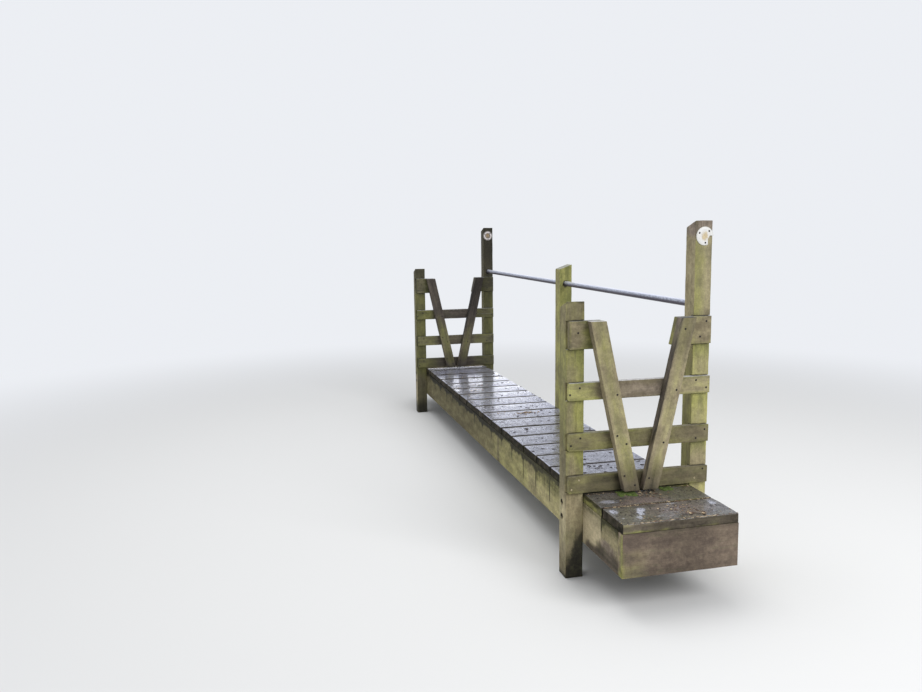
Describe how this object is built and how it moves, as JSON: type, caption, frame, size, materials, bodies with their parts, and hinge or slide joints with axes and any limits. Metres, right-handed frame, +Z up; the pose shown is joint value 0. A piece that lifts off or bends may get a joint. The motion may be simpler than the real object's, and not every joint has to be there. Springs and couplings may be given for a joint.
{
  "type": "timber footbridge with stiles",
  "caption": "Narrow timber footbridge with a plank deck on long beams, a V-shaped step-over stile at each end and a metal tube handrail along one side.",
  "frame": {"origin": "on the ground under the middle of the deck, at the height of the post feet", "axes": "+Y along the deck from the near end to the far end, +X to the right of someone walking that way, +Z up"},
  "size_m": [0.833, 5.368, 1.92],
  "materials": {
    "beam_timber": "weathered, algae, dark wet runs",
    "deck_timber": "dark, soaked, glossy with rain",
    "post_timber": "weathered grey with yellow-green algae",
    "rail_timber": "weathered, yellow-green algae, wet upper edges",
    "leg_timber": "weathered grey-tan, worn edges",
    "tube_metal": "dull galvanised, wet",
    "disc_plastic": "faded white"
  },
  "bodies": {
    "root": {"beam_left": "beam_timber", "beam_right": "beam_timber", "end_board_near": "beam_timber", "end_board_far": "beam_timber", "deck_board_1": "deck_timber", "deck_board_2": "deck_timber", "deck_board_3": "deck_timber", "deck_board_4": "deck_timber", "deck_board_5": "deck_timber", "deck_board_6": "deck_timber", "deck_board_7": "deck_timber", "deck_board_8": "deck_timber", "deck_board_9": "deck_timber", "deck_board_10": "deck_timber", "deck_board_11": "deck_timber", "deck_board_12": "deck_timber", "deck_board_13": "deck_timber", "deck_board_14": "deck_timber", "deck_board_15": "deck_timber", "deck_board_16": "deck_timber", "deck_board_17": "deck_timber", "deck_board_18": "deck_timber", "deck_board_19": "deck_timber", "deck_board_20": "deck_timber", "deck_board_21": "deck_timber", "post_near_left": "post_timber", "post_near_right": "post_timber", "post_far_left": "post_timber", "post_far_right": "post_timber", "post_handrail": "post_timber", "handrail_tube": "tube_metal", "near_rail_1": "rail_timber", "near_rail_2": "rail_timber", "near_rail_3": "rail_timber", "far_rail_1": "rail_timber", "far_rail_2": "rail_timber", "far_rail_3": "rail_timber", "near_top_rails": "rail_timber", "far_top_rails": "rail_timber", "near_leg_left": "leg_timber", "near_leg_right": "leg_timber", "far_leg_left": "leg_timber", "far_leg_right": "leg_timber", "disc_near": "disc_plastic", "disc_far": "disc_plastic"}
  },
  "joints": []
}
